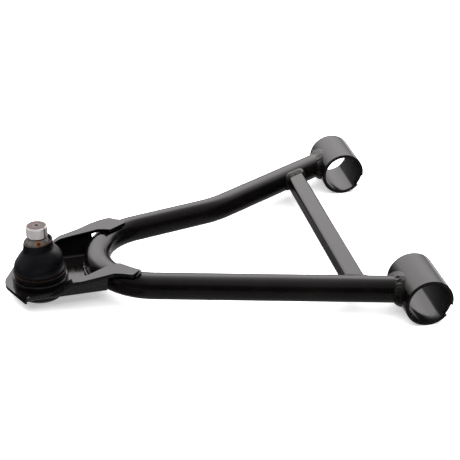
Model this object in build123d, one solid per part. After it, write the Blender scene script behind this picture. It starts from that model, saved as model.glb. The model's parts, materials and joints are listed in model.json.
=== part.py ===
from build123d import *
import os
from math import asin, atan2, cos, hypot, radians, sin, tan

os.makedirs("parts", exist_ok=True)

# Tubular lower control arm with a pressed ball-joint pan, in millimetres.
# Origin: centre of the front pivot sleeve.  +Y runs along the pivot axis to the
# rear sleeve, +X points away from the ball joint, +Z is up along the ball stud.

# ---------------------------------------------------------------- driving sizes

# Pivot sleeves
PIVOT_SPREAD = 241.0
SLEEVE_BORE = 34.0
SLEEVE_WALL = 3.0
SLEEVE_LENGTH = 48.5
SLEEVE_EDGE = 0.6
NOTCH_WIDTH = 10.0
NOTCH_DEPTH = 3.8
NOTCH_ANGLE = 25.0

# Ball joint axis
JOINT_X = -297.5
JOINT_Y = 90.8

# Bent tube: one length, folded round the inner end of the pan
TUBE_OD = 22.0
TUBE_WALL = 2.5
TUBE_Z = 0.5
U_BEND_RADIUS = 52.4
U_CENTRE_FROM_JOINT = 101.0
U_CENTRE_OFFSET = 8.2
FRONT_LANDING = 2.4
REAR_LANDING = 1.4
KNEE_FROM_BEND = 61.8
KNEE_ACROSS = 71.2
KNEE_RADIUS = 88.0

# Cross brace: rectangular tube parallel to the pivot axis
BRACE_X = -48.2
BRACE_WIDTH = 16.0
BRACE_HEIGHT = 13.0
BRACE_WALL = 1.8
BRACE_CORNER = 3.0

# Pan, measured from the joint axis; u points from the joint to the bend, v across
PLATE_THICKNESS = 3.0
PAN_SKEW = 3.5
PAN_HALF_WIDTH = 31.5
PAN_FLOOR_UNDERSIDE = -10.0
PAN_DRAFT = 24.0
PAN_FOOT_RADIUS = 4.5
NOSE_REACH = 31.0
NOSE_TIP_V = 2.0
NOSE_CORNER_U = -17.0
NOSE_RADIUS = 20.0
WALL_START_U = -15.5
WALL_END_U = 50.0

# Rim line of the pan's walls: low at the nose, a short level, a ramp to the tube
RIM_NOSE_HEIGHT = 4.4
RIM_LEVEL_U = 6.0
RIM_LEVEL_RISE = 1.2
RIM_RAMP_U = 20.5
RIM_RAMP_DROP = 4.9
RIM_TOP_U = 60.0
RIM_RADII = [1.5, 12.0, 14.0, 40.0]

# Flanges that turn out from the rim and lie on the tube
TONGUE_START_U = 56.0
FLANGE_CORNER = 2.5

# Ball stud
STUD_DIAMETER = 17.6
STUD_TOP = 43.6
STUD_HEAD = 9.0
STUD_CHAMFER = 0.9
STUD_EDGE = 0.4
STUD_CENTRE_RADIUS = 1.6
STUD_CENTRE_DEPTH = 1.4
GROOVE_DEPTH = 1.7
GROOVE_WIDTH = 1.4
SHOULDER_RADIUS = 7.9
COLLAR_STAND = 3.4
COLLAR_TOP = 28.8
COLLAR_THICKNESS = 2.0
NECK_DIAMETER = 13.6
NECK_FLARE = 1.6
NECK_FLARE_DROP = 4.0
BALL_DIAMETER = 24.0
BALL_Z = -4.5
BALL_FLAT_CUT = 1.5
BALL_CLEARANCE = 0.05
SWING_CLEARANCE = 0.4
STUD_SWING = 25.0

# Housing, from the ball outwards
SEAT_WALL = 4.0
SEAT_RISE = 8.5
SEAT_FOOT = 1.8
GREASE_HOLE_DIAMETER = 10.0
HOUSING_WALL = 4.0
HOUSING_EDGE = 2.8
HOUSING_FLANGE_STAND = 3.0
HOUSING_FLANGE_HEIGHT = 5.0
HOUSING_FLANGE_EDGE = 0.8
HOUSING_NECK_STEP = 2.0
LIP_OVERHANG = 3.0
MOUTH_HEIGHT = 4.5
MOUTH_WALL = 2.8
CLOSING_PLATE_THICKNESS = 2.0
CLOSING_PLATE_SEAT = 1.5
RIM_HEIGHT = 1.2
RIM_ROLL = 1.6

SNAP_RING_THICKNESS = 1.6
SNAP_RING_DEPTH = 1.2
SNAP_RING_STAND = 2.6
SNAP_RING_GAP = 40.0

# Dust boot and its two wire rings
BOOT_WALL = 1.9
BOOT_GAP = 0.3
BOOT_EDGE = 0.3
BEAD_WALL = 3.0
BEAD_SHOULDER = 1.2
LIP_WALL = 1.5
LIP_STAND = 0.1
LOWER_RING_WIRE = 1.6
LOWER_RING_Z = 2.3
LOWER_RING_SINK = 0.3
UPPER_RING_WIRE = 1.2
UPPER_RING_DROP = 4.5
UPPER_RING_SINK = 0.5
BELL_TOP_DROP = 3.0
BELL_FOOT_RISE = 6.1
BELL_TOP_STAND = 2.0
BELL_FOOT_SINK = 0.1
BELL_STEPS = 6

# Distance that counts as touching
TOUCHING = 0.001

# Weld beads
SLEEVE_BEAD = 4.0
BRACE_BEAD = 3.0
PLATE_BEAD = 2.6

# ---------------------------------------------------------------- derived values

SLEEVE_RADIUS = SLEEVE_BORE / 2 + SLEEVE_WALL
TUBE_RADIUS = TUBE_OD / 2
FLANGE_TOP = TUBE_Z + TUBE_RADIUS + PLATE_THICKNESS
FLOOR_TOP = PAN_FLOOR_UNDERSIDE + PLATE_THICKNESS
U_CENTRE = (JOINT_X + U_CENTRE_FROM_JOINT, JOINT_Y + U_CENTRE_OFFSET)

BALL_RADIUS = BALL_DIAMETER / 2
CAVITY_RADIUS = BALL_RADIUS + SEAT_WALL
HOUSING_RADIUS = CAVITY_RADIUS + HOUSING_WALL
HOUSING_NECK_RADIUS = HOUSING_RADIUS - HOUSING_NECK_STEP
HOUSING_STEP_Z = FLOOR_TOP + HOUSING_FLANGE_HEIGHT
LIP_Z = BALL_Z + SEAT_RISE
HOUSING_TOP = LIP_Z + MOUTH_HEIGHT
CLOSING_PLATE_TOP = BALL_Z - BALL_RADIUS + BALL_FLAT_CUT - SEAT_FOOT
CLOSING_PLATE_LOW = CLOSING_PLATE_TOP - CLOSING_PLATE_THICKNESS
CLOSING_PLATE_RADIUS = CAVITY_RADIUS + CLOSING_PLATE_SEAT
HOUSING_BASE = CLOSING_PLATE_LOW - RIM_HEIGHT
NECK_RADIUS = NECK_DIAMETER / 2
STUD_RADIUS = STUD_DIAMETER / 2
COLLAR_RADIUS = NECK_RADIUS + COLLAR_STAND

BEAD_INNER = HOUSING_NECK_RADIUS + BOOT_GAP
BEAD_OUTER = BEAD_INNER + BEAD_WALL
LOWER_RING_RADIUS = BEAD_OUTER - LOWER_RING_SINK
LIP_INNER = COLLAR_RADIUS + BOOT_GAP
LIP_OUTER = LIP_INNER + LIP_WALL
UPPER_RING_RADIUS = LIP_OUTER - UPPER_RING_SINK
UPPER_RING_Z = COLLAR_TOP - UPPER_RING_DROP


def save(part, name):
    """Write one node, checked to be closed solids."""
    solids = part.solids()
    assert solids and all(solid.volume > 0 for solid in solids), name
    export_step(Compound(children=list(solids)) if len(solids) > 1 else solids[0],
                f"parts/{name}.step")
    print(name, len(solids), round(sum(solid.volume for solid in solids), 1))


def biggest(part):
    """The largest solid of a cut, without loose offcuts."""
    return max(part.solids(), key=lambda solid: solid.volume)


def at_joint(shape):
    """Place a shape drawn round the joint axis."""
    return Pos(JOINT_X, JOINT_Y, 0) * shape


def in_pan(shape):
    """Place a shape drawn in the pan's own u, v directions."""
    return Pos(JOINT_X, JOINT_Y, 0) * Rot(0, 0, PAN_SKEW) * shape


def ring_of(points):
    """Revolve a half section given as (radius, z) points about the joint axis."""
    profile = make_face(Polyline(*[(r, 0, z) for r, z in points], close=True))
    return at_joint(revolve(profile, axis=Axis.Z))


# ---------------------------------------------------------------- bent tube

def tangent_point(point, centre, radius, turn):
    """Where a line from point touches a circle; turn is +1 or -1 for the side."""
    reach = hypot(centre[0] - point[0], centre[1] - point[1])
    direct = atan2(point[1] - centre[1], point[0] - centre[0])
    spread = radians(90) - asin(radius / reach)
    angle = direct + turn * spread
    return centre[0] + radius * cos(angle), centre[1] + radius * sin(angle)


def crossing(p, q, r, s):
    """Where the line through p, q meets the line through r, s."""
    ax, ay = q[0] - p[0], q[1] - p[1]
    bx, by = s[0] - r[0], s[1] - r[1]
    t = ((r[0] - p[0]) * by - (r[1] - p[1]) * bx) / (ax * by - ay * bx)
    return p[0] + t * ax, p[1] + t * ay


def tube_path():
    """Centre line: front sleeve, round the bend, over the knee, rear sleeve."""
    front = (-SLEEVE_RADIUS, FRONT_LANDING)
    rear = (-SLEEVE_RADIUS, PIVOT_SPREAD + REAR_LANDING)
    knee = (U_CENTRE[0] + KNEE_FROM_BEND, U_CENTRE[1] + KNEE_ACROSS)
    front_touch = tangent_point(front, U_CENTRE, U_BEND_RADIUS, -1)
    rear_touch = tangent_point(knee, U_CENTRE, U_BEND_RADIUS, 1)
    corner = crossing(front, front_touch, knee, rear_touch)
    axis_line = ((0, 0), (0, 1))
    front_end = crossing(front, front_touch, *axis_line)
    rear_end = crossing(rear, knee, *axis_line)
    points = [(x, y, TUBE_Z) for x, y in (front_end, corner, knee, rear_end)]
    return FilletPolyline(*points, radius=[U_BEND_RADIUS, KNEE_RADIUS])


PATH = tube_path()


def along_path(radius):
    """Solid round bar that follows the tube's centre line."""
    section = Plane(origin=PATH @ 0, z_dir=PATH % 0) * Circle(radius)
    return sweep(section, path=PATH)


TUBE_BAR = along_path(TUBE_RADIUS)


def along_pivot(radius, length, y):
    """Cylinder on the pivot axis, centred at y."""
    return Pos(0, y, 0) * Rot(90, 0, 0) * Cylinder(radius, length)


SLEEVE_YS = {"front": 0.0, "rear": PIVOT_SPREAD}
SLEEVE_BARS = {
    end: along_pivot(SLEEVE_RADIUS, SLEEVE_LENGTH, y) for end, y in SLEEVE_YS.items()
}


def main_tube():
    """Bent tube with both ends coped to the sleeves."""
    tube = TUBE_BAR - along_path(TUBE_RADIUS - TUBE_WALL)
    for bar in SLEEVE_BARS.values():
        tube = tube - bar
    return biggest(tube)


def sleeve(end):
    """Pivot sleeve with a locating notch in its front end."""
    y = SLEEVE_YS[end]
    body = SLEEVE_BARS[end] - along_pivot(SLEEVE_BORE / 2, SLEEVE_LENGTH, y)
    rims = body.edges().filter_by(GeomType.CIRCLE)
    body = chamfer(rims, SLEEVE_EDGE)
    cutter = Box(3 * SLEEVE_WALL, 2 * NOTCH_DEPTH, NOTCH_WIDTH)
    cutter = Pos(SLEEVE_RADIUS - SLEEVE_WALL / 2, 0, 0) * cutter
    front_end = y - SLEEVE_LENGTH / 2
    return body - Pos(0, front_end, 0) * Rot(0, NOTCH_ANGLE, 0) * cutter


# ---------------------------------------------------------------- cross brace

def brace_bar(grow):
    """Rectangular bar between the two legs, grown sideways by grow."""
    section = RectangleRounded(
        BRACE_WIDTH + 2 * grow, BRACE_HEIGHT + 2 * grow, BRACE_CORNER + grow
    )
    front_y, rear_y = leg_heights(BRACE_X)
    plane = Plane(origin=(BRACE_X, front_y, TUBE_Z), x_dir=(1, 0, 0), z_dir=(0, 1, 0))
    return extrude(plane * section, rear_y - front_y)


def leg_heights(x):
    """Y of the front and rear leg centre lines at a given x."""
    probe = Edge.make_line((x, -PIVOT_SPREAD, TUBE_Z), (x, 2 * PIVOT_SPREAD, TUBE_Z))
    ys = sorted(probe.distance_to_with_closest_points(edge)[1].Y
                for edge in PATH.edges() if probe.distance_to(edge) < TOUCHING)
    return ys[0], ys[-1]


BRACE_BAR = brace_bar(0)


def cross_brace():
    """Rectangular tube coped to both legs."""
    return biggest(BRACE_BAR - brace_bar(-BRACE_WALL) - TUBE_BAR)


# ---------------------------------------------------------------- pan

def below_rim():
    """Everything under the pan's rim line, which climbs from nose to tube."""
    nose_top = FLOOR_TOP + RIM_NOSE_HEIGHT
    end_u = RIM_TOP_U + U_BEND_RADIUS
    rim = FilletPolyline(
        (NOSE_CORNER_U - RIM_RADII[0], 0, FLOOR_TOP),
        (WALL_START_U + RIM_RADII[0], 0, nose_top),
        (RIM_LEVEL_U, 0, nose_top + RIM_LEVEL_RISE),
        (RIM_RAMP_U, 0, FLANGE_TOP - RIM_RAMP_DROP),
        (RIM_TOP_U, 0, FLANGE_TOP),
        (end_u, 0, FLANGE_TOP),
        radius=RIM_RADII,
    )
    low = HOUSING_BASE
    start, end = rim @ 0, rim @ 1
    back = Polyline(end, (end.X, 0, low), (start.X, 0, low), start)
    face = make_face(rim + back)
    return extrude(face, 3 * PAN_HALF_WIDTH, both=True)


def pan_trough():
    """Floor strip with two drafted walls, bent from one thickness."""
    middle = PAN_FLOOR_UNDERSIDE + PLATE_THICKNESS / 2
    rise = FLANGE_TOP + PLATE_THICKNESS - middle
    foot = PAN_HALF_WIDTH
    top = foot + rise * tan(radians(PAN_DRAFT))
    line = FilletPolyline(
        (WALL_START_U, -top, middle + rise),
        (WALL_START_U, -foot, middle),
        (WALL_START_U, foot, middle),
        (WALL_START_U, top, middle + rise),
        radius=PAN_FOOT_RADIUS,
    )
    centre_plane = Plane(origin=(WALL_START_U, 0, 0), x_dir=(0, 1, 0), z_dir=(1, 0, 0))
    flat = centre_plane.to_local_coords(Wire(line.edges()))
    outer = offset(flat, PLATE_THICKNESS / 2, side=Side.LEFT)
    section = make_face(outer.edges())
    return extrude(centre_plane * section, WALL_END_U - WALL_START_U)


def nose_floor():
    """Flat floor under the joint, rounded at the nose."""
    foot = PAN_HALF_WIDTH - PAN_FOOT_RADIUS * tan(radians(45.0 - PAN_DRAFT / 2))
    outline = Polygon(
        (-NOSE_REACH, NOSE_TIP_V),
        (NOSE_CORNER_U, -PAN_HALF_WIDTH),
        (WALL_START_U, -PAN_HALF_WIDTH),
        (WALL_START_U, -foot),
        (WALL_START_U + PLATE_THICKNESS, -foot),
        (WALL_START_U + PLATE_THICKNESS, foot),
        (WALL_START_U, foot),
        (WALL_START_U, PAN_HALF_WIDTH),
        (NOSE_CORNER_U, PAN_HALF_WIDTH),
        align=None,
    )
    point = outline.vertices().sort_by(Axis.X)[0]
    outline = fillet(point, NOSE_RADIUS)
    return Pos(0, 0, PAN_FLOOR_UNDERSIDE) * extrude(outline, PLATE_THICKNESS, dir=(0, 0, 1))


# Flange outlines in the pan's u, v directions: out along the wall, round the
# tongue that lies on the bend, and back along the inner edge.
FRONT_FLANGE = [
    (2.0, -33.0),
    (14.0, -38.5),
    (28.0, -42.8),
    (54.5, -42.4),
    (68.5, -49.8),
    (75.5, -43.2),
    (62.0, -28.4),
    (50.0, -29.0),
    (34.0, -35.0),
]
REAR_FLANGE = [
    (2.0, 33.0),
    (12.0, 37.5),
    (40.0, 44.4),
    (51.0, 49.0),
    (68.1, 52.8),
    (81.7, 41.3),
    (65.0, 30.8),
    (55.0, 35.4),
    (34.0, 35.0),
]


def flange_outline(points, grow=0.0):
    """Rounded outline of one flange, optionally grown for its weld."""
    outline = Polygon(*points, align=None)
    tips = [v for v in outline.vertices() if v.X > RIM_TOP_U]
    outline = fillet(tips, FLANGE_CORNER)
    return offset(outline, grow) if grow else outline


def flange(points, grow=0.0):
    """One flange: a strip that follows the rim line and lies on the tube."""
    under = below_rim()
    band = under - Pos(0, 0, -PLATE_THICKNESS) * under
    low = PAN_FLOOR_UNDERSIDE - PLATE_THICKNESS
    outline = flange_outline(points, grow)
    column = extrude(outline, FLANGE_TOP - low, dir=(0, 0, 1))
    return band & (Pos(0, 0, low) * column)


def inside_bend():
    """Space inside the bend, up to the tube's centre line."""
    return Pos(U_CENTRE[0], U_CENTRE[1], 0) * Cylinder(U_BEND_RADIUS, 4 * TUBE_OD)


def ball_joint_plate():
    """Pressed pan with its two flanges, fitted round the tube and the housing."""
    trough = pan_trough() & below_rim()
    pan = in_pan(trough + nose_floor()) - inside_bend()
    tongues = in_pan(flange(FRONT_FLANGE)) + in_pan(flange(REAR_FLANGE))
    hole = at_joint(Cylinder(HOUSING_RADIUS, 4 * TUBE_OD))
    return biggest(pan + tongues - TUBE_BAR - hole)


# ---------------------------------------------------------------- ball joint

def joint_housing():
    """Turned housing: flange on the pan floor, cavity, mouth and rolled rim."""
    wide = HOUSING_RADIUS + HOUSING_FLANGE_STAND
    groove = HOUSING_RADIUS - SNAP_RING_DEPTH
    groove_low = PAN_FLOOR_UNDERSIDE - SNAP_RING_THICKNESS
    return ring_of([
        (CLOSING_PLATE_RADIUS - RIM_ROLL, HOUSING_BASE),
        (HOUSING_RADIUS - HOUSING_EDGE, HOUSING_BASE),
        (HOUSING_RADIUS, HOUSING_BASE + HOUSING_EDGE),
        (HOUSING_RADIUS, groove_low),
        (groove, groove_low),
        (groove, PAN_FLOOR_UNDERSIDE),
        (HOUSING_RADIUS, PAN_FLOOR_UNDERSIDE),
        (HOUSING_RADIUS, FLOOR_TOP),
        (wide, FLOOR_TOP),
        (wide, HOUSING_STEP_Z - HOUSING_FLANGE_EDGE),
        (wide - HOUSING_FLANGE_EDGE, HOUSING_STEP_Z),
        (HOUSING_NECK_RADIUS, HOUSING_STEP_Z),
        (HOUSING_NECK_RADIUS, HOUSING_TOP),
        (HOUSING_NECK_RADIUS - MOUTH_WALL, HOUSING_TOP),
        (CAVITY_RADIUS - LIP_OVERHANG, LIP_Z),
        (CAVITY_RADIUS, LIP_Z),
        (CAVITY_RADIUS, CLOSING_PLATE_TOP),
        (CLOSING_PLATE_RADIUS, CLOSING_PLATE_TOP),
        (CLOSING_PLATE_RADIUS, CLOSING_PLATE_LOW),
    ])


def closing_plate():
    """Disc that closes the cavity, held by the rolled rim."""
    return ring_of([
        (0, CLOSING_PLATE_LOW),
        (CLOSING_PLATE_RADIUS, CLOSING_PLATE_LOW),
        (CLOSING_PLATE_RADIUS, CLOSING_PLATE_TOP),
        (0, CLOSING_PLATE_TOP),
    ])


def snap_ring():
    """Open ring in the housing groove, under the pan floor."""
    inner = HOUSING_RADIUS - SNAP_RING_DEPTH
    outer = HOUSING_RADIUS + SNAP_RING_STAND
    ring = Cylinder(outer, SNAP_RING_THICKNESS) - Cylinder(inner, SNAP_RING_THICKNESS)
    spread = 2 * outer * tan(radians(SNAP_RING_GAP / 2))
    wedge = Polygon((0, 0), (2 * outer, -spread), (2 * outer, spread), align=None)
    ring = ring - extrude(wedge, SNAP_RING_THICKNESS, both=True)
    return at_joint(Pos(0, 0, PAN_FLOOR_UNDERSIDE - SNAP_RING_THICKNESS / 2) * ring)


def ball_space():
    """Sphere that the ball runs in."""
    return at_joint(Pos(0, 0, BALL_Z) * Sphere(BALL_RADIUS + BALL_CLEARANCE))


def swing_cone():
    """Space swept by the stud's neck as it swings about the ball centre."""
    swing = radians(STUD_SWING)
    waist = NECK_RADIUS / cos(swing) + SWING_CLEARANCE
    return ring_of([
        (0, BALL_Z),
        (waist, BALL_Z),
        (waist + (HOUSING_TOP - BALL_Z) * tan(swing), HOUSING_TOP),
        (0, HOUSING_TOP),
    ])


def lower_seat():
    """Plastic cup under the ball, with a grease hole."""
    cup = ring_of([
        (GREASE_HOLE_DIAMETER / 2, CLOSING_PLATE_TOP),
        (CAVITY_RADIUS, CLOSING_PLATE_TOP),
        (CAVITY_RADIUS, BALL_Z),
        (GREASE_HOLE_DIAMETER / 2, BALL_Z),
    ])
    return biggest(cup - ball_space())


def upper_seat():
    """Plastic ring over the ball, opened for the stud's swing."""
    ring = ring_of([
        (0, BALL_Z),
        (CAVITY_RADIUS, BALL_Z),
        (CAVITY_RADIUS, LIP_Z),
        (0, LIP_Z),
    ])
    return biggest(ring - ball_space() - swing_cone())


def ball_stud():
    """Ball, flared neck, collar with a sloping shoulder, groove and plain head."""
    collar_low = COLLAR_TOP - COLLAR_THICKNESS
    head_low = STUD_TOP - STUD_HEAD
    groove = STUD_RADIUS - GROOVE_DEPTH
    shank = ring_of([
        (0, BALL_Z),
        (NECK_RADIUS, BALL_Z),
        (NECK_RADIUS, HOUSING_TOP),
        (NECK_RADIUS + NECK_FLARE, collar_low - NECK_FLARE_DROP),
        (COLLAR_RADIUS, collar_low),
        (COLLAR_RADIUS, COLLAR_TOP - STUD_EDGE),
        (COLLAR_RADIUS - STUD_EDGE, COLLAR_TOP),
        (SHOULDER_RADIUS, head_low - GROOVE_WIDTH),
        (groove, head_low - GROOVE_WIDTH),
        (groove, head_low),
        (STUD_RADIUS - STUD_EDGE, head_low),
        (STUD_RADIUS, head_low + STUD_EDGE),
        (STUD_RADIUS, STUD_TOP - STUD_CHAMFER),
        (STUD_RADIUS - STUD_CHAMFER, STUD_TOP),
        (STUD_CENTRE_RADIUS, STUD_TOP),
        (0, STUD_TOP - STUD_CENTRE_DEPTH),
    ])
    ball = at_joint(Pos(0, 0, BALL_Z) * Sphere(BALL_RADIUS))
    flat_z = BALL_Z - 2 * BALL_RADIUS + BALL_FLAT_CUT
    flat = at_joint(Pos(0, 0, flat_z) * Cylinder(BALL_DIAMETER, BALL_DIAMETER))
    return (ball - flat) + shank


# ---------------------------------------------------------------- dust boot

def bell_points():
    """Outer curve of the boot's bell, from under its neck down to the bead."""
    top_z = UPPER_RING_Z - BELL_TOP_DROP
    foot_z = LOWER_RING_Z + BELL_FOOT_RISE
    top_radius = LIP_OUTER + BELL_TOP_STAND
    foot_radius = BEAD_OUTER - BELL_FOOT_SINK
    points = []
    for step in range(BELL_STEPS + 1):
        drop = step / BELL_STEPS
        radius = top_radius + (foot_radius - top_radius) * sin(radians(90 * drop))
        points.append((radius, top_z + (foot_z - top_z) * drop))
    return points


def dust_boot():
    """Rubber boot: lip round the collar, neck, bell and a clamped bead."""
    lower_half = LOWER_RING_WIRE / 2 + BOOT_GAP
    upper_half = UPPER_RING_WIRE / 2 + BOOT_GAP
    lower_floor = LOWER_RING_RADIUS - lower_half
    upper_floor = UPPER_RING_RADIUS - upper_half
    bead_low = HOUSING_STEP_Z + BOOT_GAP
    bead_top = LOWER_RING_Z + lower_half
    lip_top = COLLAR_TOP + LIP_STAND
    neck_top = UPPER_RING_Z + upper_half
    neck_low = UPPER_RING_Z - upper_half
    bell = bell_points()
    outer = [
        (LIP_OUTER - BOOT_EDGE, lip_top),
        (LIP_OUTER, lip_top - BOOT_EDGE),
        (LIP_OUTER, neck_top),
        (upper_floor, neck_top),
        (upper_floor, neck_low),
        (LIP_OUTER, neck_low),
    ]
    outer += bell
    outer += [
        (BEAD_OUTER + BOOT_EDGE, bead_top + BEAD_SHOULDER),
        (BEAD_OUTER, bead_top),
        (lower_floor, bead_top),
        (lower_floor, LOWER_RING_Z - lower_half),
        (BEAD_OUTER, LOWER_RING_Z - lower_half),
        (BEAD_OUTER, bead_low),
        (BEAD_INNER, bead_low),
    ]
    inner = [(BEAD_INNER, bead_top + BEAD_SHOULDER)]
    inner += [(radius - BOOT_WALL, z) for radius, z in reversed(bell)]
    flare_slope = (COLLAR_STAND - NECK_FLARE) / NECK_FLARE_DROP
    under_collar = COLLAR_TOP - COLLAR_THICKNESS - UPPER_RING_Z
    throat = COLLAR_RADIUS - flare_slope * under_collar + 2 * BOOT_GAP
    inner += [
        (throat, neck_low),
        (throat, UPPER_RING_Z),
        (LIP_INNER, COLLAR_TOP - COLLAR_THICKNESS),
        (LIP_INNER, lip_top),
    ]
    return ring_of(outer + inner)


def wire_ring(radius, wire, z):
    """Round wire ring about the joint axis."""
    return at_joint(Pos(0, 0, z) * Torus(radius, wire / 2))


# ---------------------------------------------------------------- weld beads

def sleeve_weld(end):
    """Bead round the foot of a leg, on the outside of its sleeve."""
    around = along_pivot(SLEEVE_RADIUS + SLEEVE_BEAD, SLEEVE_LENGTH, SLEEVE_YS[end])
    return biggest((along_path(TUBE_RADIUS + SLEEVE_BEAD) & around)
                   - TUBE_BAR - SLEEVE_BARS[end])


def brace_weld(end):
    """Bead round one end of the brace."""
    bead = (brace_bar(BRACE_BEAD) & along_path(TUBE_RADIUS + BRACE_BEAD))
    bead = bead - TUBE_BAR - BRACE_BAR
    order = bead.solids().sort_by(Axis.Y)
    return order[0] if end == "front" else order[-1]


def plate_weld(points):
    """Bead round the tongue of a flange, where it lies on the tube."""
    grown = in_pan(flange(points, PLATE_BEAD))
    reach = 4 * PAN_HALF_WIDTH
    tongue_only = in_pan(Pos(TONGUE_START_U + reach / 2, 0, 0) * Box(reach, 2 * reach, reach))
    near_tube = along_path(TUBE_RADIUS + PLATE_BEAD)
    bead = grown & tongue_only & near_tube
    return biggest(bead - TUBE_BAR - PLATE)


def floor_weld():
    """Bead where the pan floor meets the outside of the bend."""
    width = 2 * (PAN_HALF_WIDTH - PAN_FOOT_RADIUS - PLATE_BEAD)
    band = in_pan(Pos(WALL_END_U, 0, FLOOR_TOP) * Box(WALL_END_U, width, 2 * PLATE_BEAD))
    bead = (along_path(TUBE_RADIUS + PLATE_BEAD) & band) - TUBE_BAR - PLATE
    return biggest(bead - inside_bend())


# ---------------------------------------------------------------- write the nodes

PLATE = ball_joint_plate()

save(main_tube(), "main_tube")
save(cross_brace(), "cross_brace")
save(PLATE, "ball_joint_plate")
for side in SLEEVE_YS:
    save(sleeve(side), f"{side}_sleeve")
    save(sleeve_weld(side), f"{side}_sleeve_weld")
    save(brace_weld(side), f"brace_{side}_weld")
save(plate_weld(FRONT_FLANGE), "plate_front_weld")
save(plate_weld(REAR_FLANGE), "plate_rear_weld")
save(floor_weld(), "plate_floor_weld")
save(joint_housing(), "joint_housing")
save(closing_plate(), "closing_plate")
save(snap_ring(), "housing_snap_ring")
save(lower_seat(), "lower_bearing_seat")
save(upper_seat(), "upper_bearing_seat")
save(ball_stud(), "ball_stud")
save(dust_boot(), "dust_boot")
save(wire_ring(LOWER_RING_RADIUS, LOWER_RING_WIRE, LOWER_RING_Z), "boot_lower_ring")
save(wire_ring(UPPER_RING_RADIUS, UPPER_RING_WIRE, UPPER_RING_Z), "boot_upper_ring")
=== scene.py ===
import json
from math import atan2, cos, exp, pi, radians, sin, sqrt

import bmesh
import bpy
from mathutils import Matrix, Vector, noise


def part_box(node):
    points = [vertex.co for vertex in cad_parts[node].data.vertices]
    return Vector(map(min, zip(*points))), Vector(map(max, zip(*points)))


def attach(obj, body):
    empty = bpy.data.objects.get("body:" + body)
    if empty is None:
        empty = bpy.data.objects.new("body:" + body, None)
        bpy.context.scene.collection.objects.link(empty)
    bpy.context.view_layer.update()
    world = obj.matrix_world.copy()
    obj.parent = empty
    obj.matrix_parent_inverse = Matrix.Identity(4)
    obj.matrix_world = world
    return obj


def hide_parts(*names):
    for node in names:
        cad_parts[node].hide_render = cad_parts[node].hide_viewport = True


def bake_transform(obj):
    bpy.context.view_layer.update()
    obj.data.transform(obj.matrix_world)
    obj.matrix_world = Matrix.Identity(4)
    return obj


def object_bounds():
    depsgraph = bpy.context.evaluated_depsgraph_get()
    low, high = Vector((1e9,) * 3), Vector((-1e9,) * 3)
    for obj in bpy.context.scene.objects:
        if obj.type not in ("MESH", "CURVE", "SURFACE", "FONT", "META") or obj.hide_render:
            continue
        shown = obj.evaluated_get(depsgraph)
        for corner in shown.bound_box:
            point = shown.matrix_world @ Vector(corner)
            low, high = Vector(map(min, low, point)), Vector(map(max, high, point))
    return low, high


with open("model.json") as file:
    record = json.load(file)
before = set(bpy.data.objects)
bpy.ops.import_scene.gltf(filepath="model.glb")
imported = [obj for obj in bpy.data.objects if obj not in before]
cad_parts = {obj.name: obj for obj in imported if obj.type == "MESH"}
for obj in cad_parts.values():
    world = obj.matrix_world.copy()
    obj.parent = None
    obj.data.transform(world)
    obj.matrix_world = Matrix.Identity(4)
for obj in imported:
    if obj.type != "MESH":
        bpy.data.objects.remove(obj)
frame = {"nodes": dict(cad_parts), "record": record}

# Tubular lower control arm: gloss black welded steel, a booted ball joint with a
# bright stud, empty pivot sleeves.  Metres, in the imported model's frame: the pivot
# axis is +Y, the ball joint lies towards -X, +Z runs up along the stud.

CAD_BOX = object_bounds()
MM = 0.001
NODES = frame["nodes"]
scene = bpy.context.scene
HEADING = radians(11.904)
AHEAD = Vector((sin(HEADING), cos(HEADING), 0.0))


def centre(node):
    """Middle of a node's box."""
    low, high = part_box(node)
    return (low + high) / 2


def size(node):
    """Lengths of a node's box."""
    low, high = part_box(node)
    return high - low


JOINT = centre("joint_housing")
JOINT.z = 0.0
TUBE_Z = centre("main_tube").z
TUBE_RADIUS = size("main_tube").z / 2
SLEEVE_RADIUS = size("front_sleeve").z / 2
BRACE = centre("cross_brace")
BRACE_SIZE = size("cross_brace")

# Marks on the stud, and a painted dark reflection band on its head, measured from the joint's
# axis.
STUD_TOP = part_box("ball_stud")[1].z
STUD_HEAD_FOOT = STUD_TOP - 9.0 * MM
STUD_FACE = 7.9 * MM
DIMPLE_RADIUS = 1.5 * MM
RING_MARK = 2.6 * MM
SHOULDER_EDGE = 9.5 * MM
RUST_SPOT = JOINT + Vector((0.3, -9.0, 30.8)) * MM
RUST_RIM = JOINT + Vector((8.0, -7.0, 28.6)) * MM
# A vertical band painted dark down the head: a painted reflection of the dark pan, not a mark on
# the metal.
PAINTED_REFLECTION_BAND = JOINT + Vector((5.9, -6.5, 0.0)) * MM

# The paint is matt on one side inside the sleeves' bores.
BORE_SKIN = (SLEEVE_RADIUS - 1.5 * MM, SLEEVE_RADIUS - 2.5 * MM)
MATT_FROM = (9 * MM, 11 * MM)
MATT_ROUGHNESS = 0.75


# ------------------------------------------------------------------ small helpers

def link(obj):
    """Put an object in the scene."""
    scene.collection.objects.link(obj)
    return obj


def mesh_object(name, vertices, faces, smooth=True):
    """A linked mesh object."""
    mesh = bpy.data.meshes.new(name)
    mesh.from_pydata([tuple(v) for v in vertices], [], faces)
    mesh.validate()
    mesh.update()
    for polygon in mesh.polygons:
        polygon.use_smooth = smooth
    return link(bpy.data.objects.new(name, mesh))


def applied(obj, name):
    """A new object with the modifiers of obj worked into its mesh."""
    bpy.context.view_layer.update()
    evaluated = obj.evaluated_get(bpy.context.evaluated_depsgraph_get())
    mesh = bpy.data.meshes.new_from_object(evaluated)
    bpy.data.objects.remove(obj)
    for polygon in mesh.polygons:
        polygon.use_smooth = True
    return link(bpy.data.objects.new(name, mesh))


def smoothstep(low, high, value):
    """0 below low, 1 above high, eased between."""
    t = min(max((value - low) / (high - low), 0.0), 1.0)
    return t * t * (3 - 2 * t)


# ------------------------------------------------------------------ materials

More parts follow.
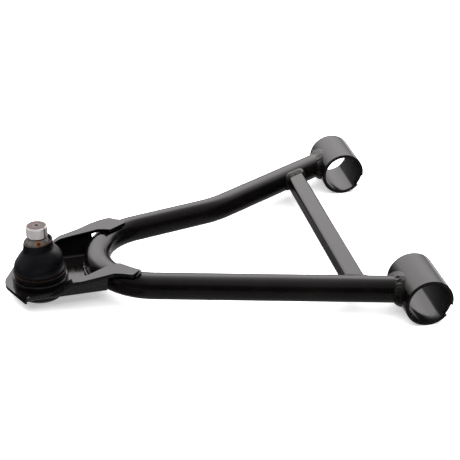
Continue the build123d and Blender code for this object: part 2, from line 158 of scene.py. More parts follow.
class Shader:
    """A material's node tree, with short calls for the nodes used here."""

    def __init__(self, name):
        self.material = bpy.data.materials.new(name)
        self.material.use_nodes = True
        self.tree = self.material.node_tree
        self.bsdf = self.tree.nodes["Principled BSDF"]
        self.object_space = self.node("ShaderNodeTexCoord").outputs["Object"]

    def node(self, kind, **settings):
        made = self.tree.nodes.new(kind)
        for key, value in settings.items():
            setattr(made, key, value)
        return made

    def join(self, source, target):
        self.tree.links.new(source, target)

    def set(self, **values):
        for key, value in values.items():
            self.bsdf.inputs[key.replace("_", " ")].default_value = value

    def noise(self, scale, detail=2.0, rough=0.5, drawn=(1.0, 1.0, 1.0)):
        """Noise in object space; a share below 1 in drawn stretches it that way."""
        made = self.node("ShaderNodeTexNoise")
        made.inputs["Scale"].default_value = scale
        made.inputs["Detail"].default_value = detail
        made.inputs["Roughness"].default_value = rough
        stretch = self.node("ShaderNodeMapping")
        stretch.inputs["Scale"].default_value = drawn
        self.join(self.object_space, stretch.inputs["Vector"])
        self.join(stretch.outputs["Vector"], made.inputs["Vector"])
        return made.outputs["Fac"]

    def ramp(self, source, stops):
        """A colour or grey ramp; stops are (place, (r, g, b))."""
        made = self.node("ShaderNodeValToRGB")
        elements = made.color_ramp.elements
        while len(elements) < len(stops):
            elements.new(0.5)
        for element, (place, colour) in zip(elements, stops):
            element.position = place
            element.color = (*colour, 1.0)
        self.join(source, made.inputs["Fac"])
        return made.outputs["Color"]

    def span(self, source, low, high, to_low=0.0, to_high=1.0):
        """Map low..high of a value onto to_low..to_high, clamped."""
        made = self.node("ShaderNodeMapRange")
        names = ("From Min", "From Max", "To Min", "To Max")
        for key, value in zip(names, (low, high, to_low, to_high)):
            made.inputs[key].default_value = value
        self.join(source, made.inputs["Value"])
        return made.outputs["Result"]

    def math(self, operation, a, b=None):
        made = self.node("ShaderNodeMath", operation=operation)
        for socket, value in zip(made.inputs, (a, b)):
            if isinstance(value, (int, float)):
                socket.default_value = value
            elif value is not None:
                self.join(value, socket)
        return made.outputs[0]

    def mix(self, factor, a, b):
        """Blend two colours by a varying factor."""
        made = self.node("ShaderNodeMix", data_type="RGBA")
        self.join(factor, made.inputs["Factor"])
        for socket, value in ((made.inputs[6], a), (made.inputs[7], b)):
            if isinstance(value, tuple):
                socket.default_value = (*value, 1.0)
            else:
                self.join(value, socket)
        return made.outputs[2]

    def colour(self, source):
        self.join(source, self.bsdf.inputs["Base Color"])

    def roughness(self, source):
        self.join(source, self.bsdf.inputs["Roughness"])

    def bump(self, *layers):
        """Stack bumps; each layer is (height source, depth in metres)."""
        previous = None
        for height, depth in layers:
            made = self.node("ShaderNodeBump")
            made.inputs["Strength"].default_value = 1.0
            made.inputs["Distance"].default_value = depth
            self.join(height, made.inputs["Height"])
            if previous is not None:
                self.join(previous, made.inputs["Normal"])
            previous = made.outputs["Normal"]
        self.join(previous, self.bsdf.inputs["Normal"])

    def near(self, point, outer, inner, upright=False):
        """1 within inner of a point (or upright line), 0 beyond outer, with a ragged edge."""
        shares = (1.0, 1.0, 0.0 if upright else 1.0)
        flat = self.node("ShaderNodeVectorMath", operation="MULTIPLY")
        flat.inputs[1].default_value = shares
        self.join(self.object_space, flat.inputs[0])
        gap = self.node("ShaderNodeVectorMath", operation="DISTANCE")
        gap.inputs[1].default_value = [a * b for a, b in zip(point, shares)]
        self.join(flat.outputs["Vector"], gap.inputs[0])
        centred = self.math("SUBTRACT", self.noise(520.0, 3.0), 0.5)
        ragged = self.math("ADD", gap.outputs["Value"], self.math("MULTIPLY", centred, outer))
        return self.span(ragged, outer, inner)

    def place(self, origin=(0.0, 0.0, 0.0)):
        """X, Y and Z of the surface point, from an origin, as value sockets."""
        shift = self.node("ShaderNodeVectorMath", operation="SUBTRACT")
        shift.inputs[1].default_value = origin
        self.join(self.object_space, shift.inputs[0])
        parts = self.node("ShaderNodeSeparateXYZ")
        self.join(shift.outputs["Vector"], parts.inputs[0])
        return parts.outputs

    def reach(self, a, b):
        """Length of the hypotenuse over two values."""
        squares = self.math("MULTIPLY", a, a), self.math("MULTIPLY", b, b)
        return self.math("SQRT", self.math("ADD", *squares))

    def about_joint(self):
        """(height, distance from the joint axis) as value sockets."""
        x, y, z = self.place(JOINT)
        return z, self.reach(x, y)


def gloss_paint(name):
    """Dipped and baked black paint: orange peel over mill marks, matt in the bores."""
    s = Shader(name)
    s.set(IOR=1.5, Specular_IOR_Level=0.5)
    s.colour(s.ramp(s.noise(28.0, 3.0), [
        (0.35, (0.0014, 0.0012, 0.0012)),
        (0.7, (0.0032, 0.0027, 0.0026)),
    ]))
    across, _, up = s.place()
    in_bore = s.span(s.reach(across, up), *BORE_SKIN)
    matt = s.math("MULTIPLY", in_bore, s.span(across, *MATT_FROM))
    streaks = s.noise(420.0, 3.0, drawn=(1.0, 0.04, 1.0))
    patches = s.math("MULTIPLY", s.noise(60.0, 4.0), 0.6)
    cloudy = s.math("ADD", patches, s.math("MULTIPLY", streaks, 0.4))
    gloss = s.span(cloudy, 0.3, 0.72, 0.09, 0.19)
    s.roughness(s.math("MAXIMUM", gloss, s.math("MULTIPLY", matt, MATT_ROUGHNESS)))
    s.bump((streaks, 7e-6), (s.noise(240.0, 2.0), 22e-6), (s.noise(1500.0, 1.0), 3e-6))
    return s.material


def weld_paint(name):
    """The same paint over laid weld metal: lumpier, slightly green-grey, with pits."""
    s = Shader(name)
    s.set(IOR=1.5, Specular_IOR_Level=0.5)
    s.colour(s.ramp(s.noise(220.0, 3.0), [
        (0.35, (0.0015, 0.0015, 0.0012)),
        (0.75, (0.0085, 0.0088, 0.0068)),
    ]))
    s.roughness(s.span(s.noise(420.0, 3.0), 0.3, 0.7, 0.12, 0.24))
    s.bump((s.noise(380.0, 3.0), 120e-6), (s.noise(1600.0, 2.0), 20e-6))
    return s.material


def satin_paint(name):
    """Thinner satin black on the turned housing, with faint turning marks."""
    s = Shader(name)
    s.set(IOR=1.5, Specular_IOR_Level=0.5)
    height, away = s.about_joint()
    s.colour(s.ramp(s.noise(70.0, 3.0), [
        (0.35, (0.0015, 0.0015, 0.0015)),
        (0.75, (0.004, 0.0036, 0.0036)),
    ]))
    s.roughness(s.span(s.noise(160.0, 3.0), 0.3, 0.7, 0.18, 0.28))
    rings = s.math("SINE", s.math("MULTIPLY", s.math("ADD", height, away), 9000.0))
    s.bump((rings, 4e-6), (s.noise(700.0, 2.0), 10e-6))
    return s.material


def boot_rubber(name):
    """Moulded rubber: satin black, fine grain, a dusty bloom and mould lines."""
    s = Shader(name)
    s.set(IOR=1.5, Specular_IOR_Level=0.26)
    height, _ = s.about_joint()
    s.colour(s.ramp(s.noise(90.0, 5.0), [
        (0.3, (0.0018, 0.0017, 0.0024)),
        (0.8, (0.0055, 0.005, 0.0068)),
    ]))
    s.roughness(s.span(s.noise(240.0, 4.0), 0.3, 0.75, 0.27, 0.38))
    lines = s.math("SINE", s.math("MULTIPLY", height, 4200.0))
    s.bump((lines, 12e-6), (s.noise(900.0, 3.0), 30e-6))
    return s.material


def machined_steel(name):
    """The stud: satin head with a painted dark reflection band, dull brown end face, rust below.
    """
    s = Shader(name)
    height, away = s.about_joint()
    scuffs = s.noise(330.0, 3.0, drawn=(1.0, 1.0, 0.05))
    bright = s.ramp(scuffs, [
        (0.3, (0.22, 0.21, 0.21)),
        (0.42, (0.47, 0.455, 0.45)),
        (0.8, (0.56, 0.545, 0.54)),
    ])
    # Painted reflection: the head's colour is darkened along this vertical band.
    reflection_band_mask = s.near(PAINTED_REFLECTION_BAND, 1.3 * MM, 0.3 * MM, upright=True)
    bright = s.mix(reflection_band_mask, bright, (0.07, 0.068, 0.072))

    face = s.ramp(s.noise(600.0, 5.0, 0.65), [
        (0.34, (0.030, 0.019, 0.017)),
        (0.68, (0.085, 0.060, 0.056)),
    ])
    off_ring = s.math("ABSOLUTE", s.math("SUBTRACT", away, RING_MARK))
    face = s.mix(s.span(off_ring, 0.0, 0.9 * MM, 0.55, 0.0), face, (0.14, 0.115, 0.11))
    # The centre dimple on the end face is painted near black and made unreflective: painted shade
    # in the hollow.
    painted_shade_dimple = s.math("MULTIPLY",
                    s.span(away, DIMPLE_RADIUS + 0.2 * MM, DIMPLE_RADIUS - 0.2 * MM),
                    s.span(height, STUD_TOP - 2 * MM, STUD_TOP - 1.9 * MM))
    face = s.mix(painted_shade_dimple, face, (0.012, 0.006, 0.005))
    on_face = s.math("MULTIPLY",
                     s.span(height, STUD_TOP - 2.0 * MM, STUD_TOP - 0.1 * MM),
                     s.span(away, STUD_FACE, STUD_FACE - 0.3 * MM))

    dull = s.ramp(s.noise(300.0, 4.0), [
        (0.3, (0.055, 0.050, 0.045)),
        (0.75, (0.17, 0.158, 0.148)),
    ])
    rust = s.ramp(s.noise(900.0, 4.0), [
        (0.3, (0.10, 0.028, 0.006)),
        (0.75, (0.36, 0.13, 0.03)),
    ])
    rust = s.mix(s.near(RUST_SPOT, 1.8 * MM, 0.5 * MM), rust, (0.035, 0.010, 0.003))
    spot = s.near(RUST_SPOT, 3.4 * MM, 1.0 * MM)
    at_edge = s.span(away, SHOULDER_EDGE - 0.3 * MM, SHOULDER_EDGE + 0.4 * MM)
    rim = s.math("MULTIPLY", at_edge, s.near(RUST_RIM, 9.0 * MM, 5.0 * MM))
    stained = s.mix(s.math("MAXIMUM", spot, rim), dull, rust)

    under_head = s.span(height, STUD_HEAD_FOOT + 0.2 * MM, STUD_HEAD_FOOT - 0.2 * MM)
    s.colour(s.mix(under_head, s.mix(on_face, bright, face), stained))
    worked = s.math("MAXIMUM", on_face, under_head)
    metal = s.math("MAXIMUM", s.span(worked, 0.0, 1.0, 0.5, 0.25), painted_shade_dimple)
    s.join(metal, s.bsdf.inputs["Metallic"])
    worn = s.span(s.noise(500.0, 3.0), 0.3, 0.7, 0.26, 0.38)
    s.roughness(s.math("ADD", worn, s.math("MULTIPLY", worked, 0.12)))
    turned = s.math("SINE", s.math("MULTIPLY", s.math("ADD", height, away), 16000.0))
    s.bump((turned, 7e-6), (s.noise(1500.0, 2.0), 6e-6))
    return s.material


def wire_steel(name, dark, light):
    """Drawn wire, oiled and slightly bronzed."""
    s = Shader(name)
    s.set(Metallic=0.6)
    s.colour(s.ramp(s.noise(260.0, 4.0), [(0.3, dark), (0.75, light)]))
    s.roughness(s.span(s.noise(500.0, 3.0), 0.3, 0.7, 0.3, 0.5))
    s.bump((s.noise(2200.0, 2.0), 10e-6))
    return s.material


def zinc_plate(name):
    """Pressed closing plate: dull zinc with faint spangle."""
    s = Shader(name)
    s.set(Metallic=0.9)
    s.colour(s.ramp(s.noise(240.0, 4.0), [
        (0.3, (0.26, 0.25, 0.23)),
        (0.75, (0.42, 0.41, 0.38)),
    ]))
    s.roughness(s.span(s.noise(420.0, 3.0), 0.3, 0.7, 0.34, 0.5))
    s.bump((s.noise(900.0, 3.0), 20e-6))
    return s.material


def seat_plastic(name):
    """Off-white moulded bearing plastic."""
    s = Shader(name)
    s.set(IOR=1.5)
    s.colour(s.ramp(s.noise(200.0, 3.0), [
        (0.3, (0.70, 0.68, 0.62)),
        (0.8, (0.80, 0.78, 0.72)),
    ]))
    s.roughness(s.span(s.noise(300.0, 2.0), 0.3, 0.7, 0.4, 0.55))
    s.bump((s.noise(900.0, 2.0), 10e-6))
    return s.material


LOOKS = {
    "black_paint": gloss_paint("gloss black paint"),
    "weld_paint": weld_paint("painted weld"),
    "housing_paint": satin_paint("satin black housing"),
    "zinc_plate": zinc_plate("zinc plate"),
    "spring_steel": wire_steel("wire ring", (0.009, 0.005, 0.0035), (0.040, 0.021, 0.013)),
    "seat_plastic": seat_plastic("bearing plastic"),
    "boot_rubber": boot_rubber("boot rubber"),
    "machined_steel": machined_steel("machined steel"),
}


def wear(obj, slot):
    """Give an object one of the looks."""
    obj.data.materials.clear()
    obj.data.materials.append(LOOKS[slot])
    return obj


for part in frame["record"]["subparts"]:
    wear(NODES[part["node"]], part["material_slot"])


# ------------------------------------------------------------------ weld beads

WELD_STEP = 0.42 * MM
WELD_ROWS = 12
WELD_TUCK = 0.7 * MM
BRACE_CORNER = 3.0 * MM
CORNER_STEPS = 8
LEG_CUTS = (-0.035, -0.080)
CRATER_RIM = 2.3
CRATER_WAY = Vector((0, -0.2, 1))
SEAM_VOXEL = 0.6 * MM


def leg_axis(end):
    """A point on a leg's centre line near its sleeve, and the leg's direction."""
    mesh = NODES["main_tube"].data
    between = centre("main_tube").y
    stations = []
    for cut in LEG_CUTS:
        ring = []
        for edge in mesh.edges:
            a, b = (mesh.vertices[i].co for i in edge.vertices)
            if (a.x - cut) * (b.x - cut) < 0:
                point = a.lerp(b, (cut - a.x) / (b.x - a.x))
                if (point.y < between) == (end == "front"):
                    ring.append(point)
        low = Vector(min(point[i] for point in ring) for i in range(3))
        high = Vector(max(point[i] for point in ring) for i in range(3))
        stations.append((low + high) / 2)
    return stations[0], (stations[1] - stations[0]).normalized()


def round_profile(axis, radius):
    """Stations round a tube: (offset from its centre line, outward direction)."""
    side = axis.orthogonal().normalized()
    up = axis.cross(side)
    count = round(2 * pi * radius / WELD_STEP)
    turns = [2 * pi * i / count for i in range(count)]
    outward = [side * cos(turn) + up * sin(turn) for turn in turns]
    return [(out * radius, out) for out in outward]


def bar_profile(width, height, corner):
    """The same round a rectangular bar that lies along Y."""
    knots = []
    for quarter, (along, up) in enumerate(((1, 1), (-1, 1), (-1, -1), (1, -1))):
        middle = Vector((along * (width / 2 - corner), 0, up * (height / 2 - corner)))
        for step in range(CORNER_STEPS + 1):
            turn = pi / 2 * (quarter + step / CORNER_STEPS)
            out = Vector((cos(turn), 0, sin(turn)))
            knots.append((middle + out * corner, out))
    stations = []
    for (a, out_a), (b, out_b) in zip(knots, knots[1:] + knots[:1]):
        parts = max(1, round((b - a).length / WELD_STEP))
        for step in range(parts):
            share = step / parts
            stations.append((a.lerp(b, share), out_a.lerp(out_b, share).normalized()))
    return stations


def fillet_weld(node, profile, start, run, onto, toe, foot, pitch, ripple, crater=None):
    """Laid weld round a member where it meets a round one; replaces a CAD bead.

    The member has a profile round the line start + t * run; onto is the round one's
    (point, axis, radius).  toe and foot are the bead's legs on the two of them.
    A crater, given as a direction, is the ring that the torch left where it stopped.
    """
    point, axis, radius = onto
    rows = WELD_ROWS + 4

    def flat(vector):
        return vector - axis * vector.dot(axis)

    roots = []
    for offset, _ in profile:
        gap, way = flat(start + offset - point), flat(run)
        half, length = gap.dot(way), way.dot(way)
        reach = (-half + sqrt(half * half - length * (gap.dot(gap) - radius * radius))) / length
        roots.append(start + offset + run * reach)
    vertices, bulges, travelled = [], [], 0.0
    for place, (root, (_, out)) in enumerate(zip(roots, profile)):
        travelled += (root - roots[place - 1]).length if place else 0.0
        normal = flat(root - point).normalized()
        spread = (out - normal * out.dot(normal)).normalized()
        low = root + spread * foot
        settled = flat(low - point).normalized()
        low = low - flat(low - point) + settled * radius
        wander = noise.noise(root * 300.0)
        high = root + run * toe * (1 + 0.16 * wander)
        bulge = (low + high) / 2 - root
        crown = root + bulge * 1.3
        bulge.normalize()
        section = []
        for step in range(WELD_ROWS + 1):
            t = step / WELD_ROWS
            spot = high * (1 - t) ** 2 + crown * 2 * t * (1 - t) + low * t * t
            arc = 1 - (2 * t - 1) ** 2
            phase = (travelled / pitch - 0.55 * arc + 0.5 * wander) % 1.0
            wave = 0.7 - phase + 0.4 * sin(pi * phase)
            section.append(spot + bulge * ripple * arc * wave)
        section += [low - settled * WELD_TUCK, root - bulge * 0.9 * MM, high - out * WELD_TUCK]
        vertices += section
        bulges += [bulge] * len(section)
    if crater:
        top = max(range(len(profile)), key=lambda i: profile[i][1].dot(crater))
        heart = vertices[top * rows + WELD_ROWS // 4].copy()
        for number, vertex in enumerate(vertices):
            away = (vertex - heart).length / MM
            lift = 0.75 * exp(-((away - CRATER_RIM) / 0.8) ** 2) - 0.5 * exp(-((away / 1.2) ** 2))
            vertices[number] = vertex + bulges[number] * lift * MM
    faces = []
    for place in range(len(profile)):
        here, there = place * rows, (place + 1) % len(profile) * rows
        for row in range(rows):
            after = (row + 1) % rows
            faces.append((here + row, there + row, there + after, here + after))
    bead = mesh_object(node + "_bead", vertices, faces)
    face_outwards(bead)
    return as_weld(bead, node)


def face_outwards(obj):
    """Turn every face of a closed mesh to the outside."""
    work = bmesh.new()
    work.from_mesh(obj.data)
    bmesh.ops.recalc_face_normals(work, faces=work.faces)
    work.to_mesh(obj.data)
    work.free()


def as_weld(bead, node):
    """Fasten a bead to the arm in place of its CAD node."""
    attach(bead, "arm")
    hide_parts(node)
    return wear(bead, "weld_paint")


def seam_weld(node, origin, pitch, ripple, sink):
    """A lumpy seam along a plate's edge, from the CAD bead's own shape."""
    bead = link(bpy.data.objects.new(node + "_raw", NODES[node].data.copy()))
    skin = bead.modifiers.new("skin", "REMESH")
    skin.mode = "VOXEL"
    skin.voxel_size = SEAM_VOXEL
    flow = bead.modifiers.new("flow", "SMOOTH")
    flow.factor = 0.5
    flow.iterations = 6
    bead = applied(bead, node + "_bead")
    moved = []
    for vertex in bead.data.vertices:
        offset = vertex.co - origin
        around = atan2(offset.y, offset.x) * offset.xy.length
        wander = noise.noise(vertex.co * 260.0)
        phase = (around / pitch + 0.35 * wander) % 1.0
        lift = ripple * (0.55 - phase + 0.5 * sin(pi * phase) + 0.5 * wander) - sink
        moved.append(vertex.co + vertex.normal * lift)
    for vertex, place in zip(bead.data.vertices, moved):
        vertex.co = place
    bead.data.update()
    return as_weld(bead, node)


def weld_beads():
    """Every bead on the arm, each round the piece that it joins."""
    pivot = (Vector((0, 0, 0)), Vector((0, 1, 0)), SLEEVE_RADIUS)
    foot = Vector((BRACE.x, BRACE.y, TUBE_Z))
    for end, inward in (("front", 1), ("rear", -1)):
        origin, heading = leg_axis(end)
        leg = round_profile(heading, TUBE_RADIUS)
        crater = CRATER_WAY if end == "front" else None
        fillet_weld(f"{end}_sleeve_weld", leg, origin, heading, pivot,
                    toe=4.8 * MM, foot=4.4 * MM, pitch=2.7 * MM, ripple=0.42 * MM,
                    crater=crater)
        bar = bar_profile(BRACE_SIZE.x, BRACE_SIZE.z, BRACE_CORNER)
        fillet_weld(f"brace_{end}_weld", bar, foot, Vector((0, inward, 0)),
                    (origin, heading, TUBE_RADIUS),
                    toe=3.4 * MM, foot=3.6 * MM, pitch=2.3 * MM, ripple=0.5 * MM)
        seam = f"plate_{end}_weld"
        seam_weld(seam, centre(seam), pitch=2.0 * MM, ripple=0.35 * MM, sink=0.5 * MM)
    bend = centre("plate_floor_weld") + Vector((60 * MM, 0, 0))
    seam_weld("plate_floor_weld", bend, pitch=2.2 * MM, ripple=0.3 * MM, sink=0.2 * MM)


# ------------------------------------------------------------------ dust boot

BOOT_LOW, BOOT_HIGH = (corner.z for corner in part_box("dust_boot"))
LOWER_RING = centre("boot_lower_ring").z
UPPER_RING = centre("boot_upper_ring").z
LOWER_RING_RADIUS = size("boot_lower_ring").x / 2
UPPER_RING_RADIUS = size("boot_upper_ring").x / 2
BOOT_SPLIT = 10 * MM
BOOT_THROAT = 10.45 * MM
BOOT_FOOT = 18.4 * MM
BOOT_WALL = 1.7 * MM
BOOT_SEGMENTS = 144
LEAN = Vector((0.978, -0.206, 0.0))


def boot_outer():
    """Outer profile of the boot, top to bottom, as (radius, height)."""
    lip = UPPER_RING_RADIUS + 0.15 * MM
    bead = LOWER_RING_RADIUS - 0.55 * MM
    return [
        (lip - 0.75 * MM, BOOT_HIGH),
        (lip - 0.45 * MM, BOOT_HIGH - 0.1 * MM),
        (lip - 0.3 * MM, BOOT_HIGH - 0.5 * MM),
        (lip - 0.15 * MM, BOOT_HIGH - 1.6 * MM),
        (lip - 0.25 * MM, BOOT_HIGH - 2.8 * MM),
        (lip - 0.1 * MM, UPPER_RING + 0.6 * MM),
        (lip + 0.05 * MM, UPPER_RING),
        (lip + 0.2 * MM, UPPER_RING - 0.8 * MM),
        (lip + 0.8 * MM, UPPER_RING - 1.8 * MM),
        (14.2 * MM, 21.2 * MM),
        (15.7 * MM, 19.4 * MM),
        (16.9 * MM, 17.8 * MM),
        (18.1 * MM, 15.8 * MM),
        (19.1 * MM, 13.4 * MM),
        (19.7 * MM, 11.4 * MM),
        (19.9 * MM, BOOT_SPLIT),
        (19.85 * MM, 9.1 * MM),
        (19.6 * MM, 8.5 * MM),
        (19.65 * MM, 8.0 * MM),
        (20.0 * MM, 7.3 * MM),
        (20.15 * MM, 6.7 * MM),
        (20.4 * MM, 6.2 * MM),
        (bead, 5.2 * MM),
        (bead + 0.1 * MM, 4.6 * MM),
        (bead, LOWER_RING + 1.3 * MM),
        (bead - 0.5 * MM, LOWER_RING + 0.8 * MM),
        (LOWER_RING_RADIUS - 0.9 * MM, LOWER_RING + 0.45 * MM),
        (LOWER_RING_RADIUS - 0.9 * MM, LOWER_RING - 0.45 * MM),
        (bead - 0.5 * MM, LOWER_RING - 0.85 * MM),
        (bead, LOWER_RING - 1.4 * MM),
        (bead, BOOT_LOW + 0.5 * MM),
        (bead - 0.5 * MM, BOOT_LOW),
        (bead - 2.6 * MM, BOOT_LOW),
    ]


def refine(points, parts):
    """Points along a smooth curve through a profile (Catmull-Rom)."""
    ends = [points[0]] + points + [points[-1]]
    curve = []
    for a, b, c, d in zip(ends, ends[1:], ends[2:], ends[3:]):
        for step in range(parts):
            t = step / parts
            curve.append(tuple(
                0.5 * (2 * q + (r - p) * t + (2 * p - 5 * q + 4 * r - s) * t * t
                       + (3 * q - p - 3 * r + s) * t ** 3)
                for p, q, r, s in zip(a, b, c, d)))
    curve.append(points[-1])
    return curve


def boot_point(radius, height, turn):
    """A boot surface point, with the slight lean and dents of real rubber."""
    outward = Vector((cos(turn), sin(turn), 0.0))
    middle = smoothstep(4 * MM, 8 * MM, height) * (1 - smoothstep(20 * MM, 24 * MM, height))
    towards = outward.dot(LEAN)
    drift = (smoothstep(7 * MM, 18 * MM, height) * 1.9 - 0.9) * MM * middle
    rise = 1.1 * MM * towards * smoothstep(4 * MM, 8 * MM, height)
    lip = smoothstep(26.5 * MM, BOOT_HIGH, height)
    rise += (0.9 + 0.9 * outward.dot(AHEAD)) * MM * lip
    drift += 0.45 * MM * lip
    dent = noise.noise(outward * 1.7 + Vector((0, 0, height * 70.0))) * 0.35 * MM * middle
    place = JOINT + outward * (radius + dent) + LEAN * drift
    place.z = height + rise
    return place


def boot_shell(name, outer, inner):
    """Ring of rubber between an outer and an inner profile."""
    loop = outer + inner
    rows = len(loop)
    vertices, faces = [], []
    for segment in range(BOOT_SEGMENTS):
        turn = 2 * pi * segment / BOOT_SEGMENTS
        vertices += [boot_point(radius, height, turn) for radius, height in loop]
    for segment in range(BOOT_SEGMENTS):
        here = segment * rows
        there = (segment + 1) % BOOT_SEGMENTS * rows
        for row in range(rows):
            following = (row + 1) % rows
            faces.append((here + row, there + row, there + following, here + following))
    return mesh_object(name, vertices, faces)


def dust_boot():
    """The boot in two pieces, a crown and a skirt, split at one height."""
    outer = refine(boot_outer(), 4)
    upper = [p for p in outer if p[1] >= BOOT_SPLIT - 1e-6]
    lower = [p for p in outer if p[1] <= BOOT_SPLIT + 1e-6]
    upper_inner = [(max(r - BOOT_WALL, BOOT_THROAT), z) for r, z in upper[::-3]]
    upper_inner[-1] = (upper[0][0] - 0.25 * MM, BOOT_HIGH - 0.05 * MM)
    lower_inner = [(max(r - BOOT_WALL, BOOT_FOOT), z) for r, z in lower[::-3]]
    crown = boot_shell("dust_boot_crown", upper, upper_inner)
    skirt = boot_shell("dust_boot_skirt", lower, lower_inner)
    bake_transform(skirt)
    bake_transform(crown)
    for piece in (crown, skirt):
        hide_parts("dust_boot")
        wear(piece, "boot_rubber")


# ------------------------------------------------------------------ studio

PITCH = radians(28.252)
ROLL = radians(-0.07)
CAMERA_PLACE = Vector((-0.3276, -0.8124, 0.5173))
LENS = 97.5

# Light in the room by angle over the object, in the vertical plane that runs away
# from the front: 0 is the front horizon, 90 overhead, 180 the back wall's foot and
# -180..0 the ground from back to front.  Each entry is (degrees, brightness).
ROOM = [
    (-180, 0.45), (-176, 0.70), (-171, 0.95), (-165, 0.45), (-159, 0.16), (-150, 0.38),
    (-125, 0.25), (-90, 0.22), (-50, 0.19), (-10, 0.13), (0, 0.01), (33, 0.02),
    (44, 0.20), (60, 0.31), (75, 0.43), (86, 0.58), (95, 0.86), (107, 1.25),
    (117, 1.65), (124, 2.40), (131, 3.10), (144, 2.95), (153, 2.40), (163, 1.55),
    (173, 0.92), (180, 0.45),
]
ROOM_TINT = (1.0, 0.975, 0.972)
ROOM_PEAK = 3.2
SIDE_LEVEL = 0.04
SIDE_FALL = (0.62, 0.86)
BAR_PLACE = -0.07
BAR_EDGES = (0.05, 0.24)
BAR_OUTSIDE = 0.50
BAR_ENDS = (105, 130)
GROUND_SPAN = ((-160, -145), (-20, -5))
GROUND_LEFT = 0.25
GROUND_LEFT_EDGE = (-0.22, -0.36)
PANEL_LEFT = 0.30
PANEL_LEFT_EDGE = (-0.72, -0.92)
PANEL_RIGHT = 0.55
PANEL_RIGHT_EDGE = (0.22, 0.32)
PANEL_RIGHT_SPAN = ((-178, -170), (-160, -145))
FILL_SIZE = 5.0
FILL_ENERGY = 260.0
FILL_PLACE = Vector((0.2, 0.0, 2.5))
FLOOR_REACH = 60.0
FLOOR_GLOW = 0.45


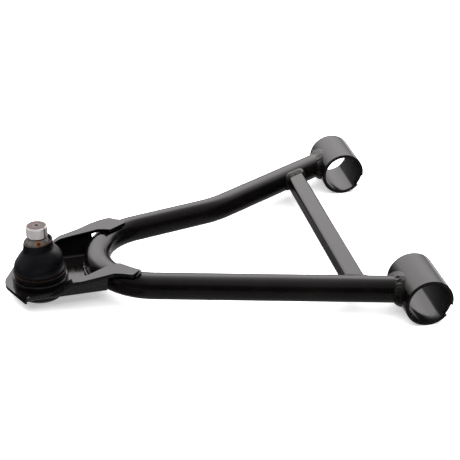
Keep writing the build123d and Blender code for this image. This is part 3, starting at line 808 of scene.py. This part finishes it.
def room_light():
    """A soft wall of light behind and a narrow bar overhead, dark at the sides.

    Two dim panels add to it: one at the far left, and one low behind on the right.
    """
    world = bpy.data.worlds.new("studio")
    world.use_nodes = True
    scene.world = world
    tree = world.node_tree
    nodes, links = tree.nodes, tree.links
    direction = nodes.new("ShaderNodeTexCoord").outputs["Generated"]

    def dot(vector):
        made = nodes.new("ShaderNodeVectorMath")
        made.operation = "DOT_PRODUCT"
        made.inputs[1].default_value = vector
        links.new(direction, made.inputs[0])
        return made.outputs["Value"]

    def math(operation, a, b=None):
        made = nodes.new("ShaderNodeMath")
        made.operation = operation
        for socket, value in zip(made.inputs, (a, b)):
            if isinstance(value, (int, float)):
                socket.default_value = value
            elif value is not None:
                links.new(value, socket)
        return made.outputs[0]

    def span(source, low, high, to_low=0.0, to_high=1.0, kind="SMOOTHSTEP"):
        made = nodes.new("ShaderNodeMapRange")
        made.interpolation_type = kind
        names = ("From Min", "From Max", "To Min", "To Max")
        for key, value in zip(names, (low, high, to_low, to_high)):
            made.inputs[key].default_value = value
        links.new(source, made.inputs["Value"])
        return made.outputs["Result"]

    def between(source, rise, fall):
        """1 between two ranges of degrees, eased up over rise and down over fall."""
        return math("MULTIPLY", span(source, *map(radians, rise)),
                    span(source, *map(radians, fall), 1.0, 0.0))

    angle = math("ARCTAN2", dot((0.0, 0.0, 1.0)), dot(-AHEAD))
    ramp = nodes.new("ShaderNodeValToRGB")
    elements = ramp.color_ramp.elements
    while len(elements) < len(ROOM):
        elements.new(0.5)
    for element, (degree, level) in zip(elements, ROOM):
        element.position = (degree + 180) / 360
        element.color = (*(level / ROOM_PEAK * tint for tint in ROOM_TINT), 1.0)
    links.new(span(angle, -pi, pi, kind="LINEAR"), ramp.inputs["Fac"])
    sideways = dot(AHEAD.cross(Vector((0, 0, 1))))
    within = span(math("ABSOLUTE", sideways), *SIDE_FALL, 1.0, SIDE_LEVEL)
    off_bar = math("ABSOLUTE", math("SUBTRACT", sideways, BAR_PLACE))
    outside = span(off_bar, *BAR_EDGES, 0.0, 1.0 - BAR_OUTSIDE)
    overhead = between(angle, (0, 40), BAR_ENDS)
    bar = math("SUBTRACT", 1.0, math("MULTIPLY", outside, overhead))
    on_left = span(sideways, *GROUND_LEFT_EDGE, 0.0, 1 - GROUND_LEFT)
    ground = math("SUBTRACT", 1.0, math("MULTIPLY", between(angle, *GROUND_SPAN), on_left))
    dimming = math("MULTIPLY", bar, ground)
    strength = math("MULTIPLY", math("MULTIPLY", within, dimming), ROOM_PEAK)
    background = nodes["Background"]
    links.new(ramp.outputs["Color"], background.inputs["Color"])
    links.new(strength, background.inputs["Strength"])
    low_right = math("MULTIPLY", between(angle, *PANEL_RIGHT_SPAN),
                     span(sideways, *PANEL_RIGHT_EDGE))
    far_left = math("MULTIPLY", span(sideways, *PANEL_LEFT_EDGE), span(angle, 0.0, radians(25)))
    lit = math("ADD", math("MULTIPLY", low_right, PANEL_RIGHT),
               math("MULTIPLY", far_left, PANEL_LEFT))
    panels = nodes.new("ShaderNodeBackground")
    links.new(lit, panels.inputs["Strength"])
    both = nodes.new("ShaderNodeAddShader")
    links.new(background.outputs[0], both.inputs[0])
    links.new(panels.outputs[0], both.inputs[1])
    links.new(both.outputs[0], nodes["World Output"].inputs["Surface"])


def fill_light():
    """A high softbox that keeps the floor pale; it leaves no highlights."""
    data = bpy.data.lights.new("fill", "AREA")
    data.shape = "RECTANGLE"
    data.size = FILL_SIZE
    data.size_y = FILL_SIZE
    data.energy = FILL_ENERGY
    fill = link(bpy.data.objects.new("fill", data))
    fill.location = JOINT + FILL_PLACE
    fill.visible_glossy = False
    fill.visible_camera = False


def floor():
    """Plain pale floor under the sleeves, with a slight glow that thins the shadows."""
    low = CAD_BOX[0].z - 0.05 * MM
    ways = ((-1, -1), (1, -1), (1, 1), (-1, 1))
    corners = [(x * FLOOR_REACH, y * FLOOR_REACH, low) for x, y in ways]
    ground = mesh_object("floor", corners, [(0, 1, 2, 3)], smooth=False)
    s = Shader("pale floor")
    s.set(Specular_IOR_Level=0.0)
    s.colour(s.ramp(s.noise(3.0, 2.0), [(0.3, (0.84, 0.84, 0.84)), (0.7, (0.86, 0.86, 0.86))]))
    s.set(Roughness=1.0, Emission_Strength=FLOOR_GLOW)
    ground.data.materials.append(s.material)
    ground.visible_glossy = False


def camera():
    """The view from in front of the ball joint end, looking down along the arm."""
    data = bpy.data.cameras.new("camera")
    data.lens = LENS
    data.sensor_width = 36.0
    data.clip_start = 0.02
    data.clip_end = 200.0
    eye = link(bpy.data.objects.new("camera", data))
    turn = Matrix.Rotation(-HEADING, 4, "Z") @ Matrix.Rotation(pi / 2 - PITCH, 4, "X")
    eye.matrix_world = Matrix.Translation(CAMERA_PLACE) @ turn @ Matrix.Rotation(ROLL, 4, "Z")
    scene.camera = eye


weld_beads()
dust_boot()
room_light()
fill_light()
floor()
camera()
scene.view_settings.view_transform = "Standard"
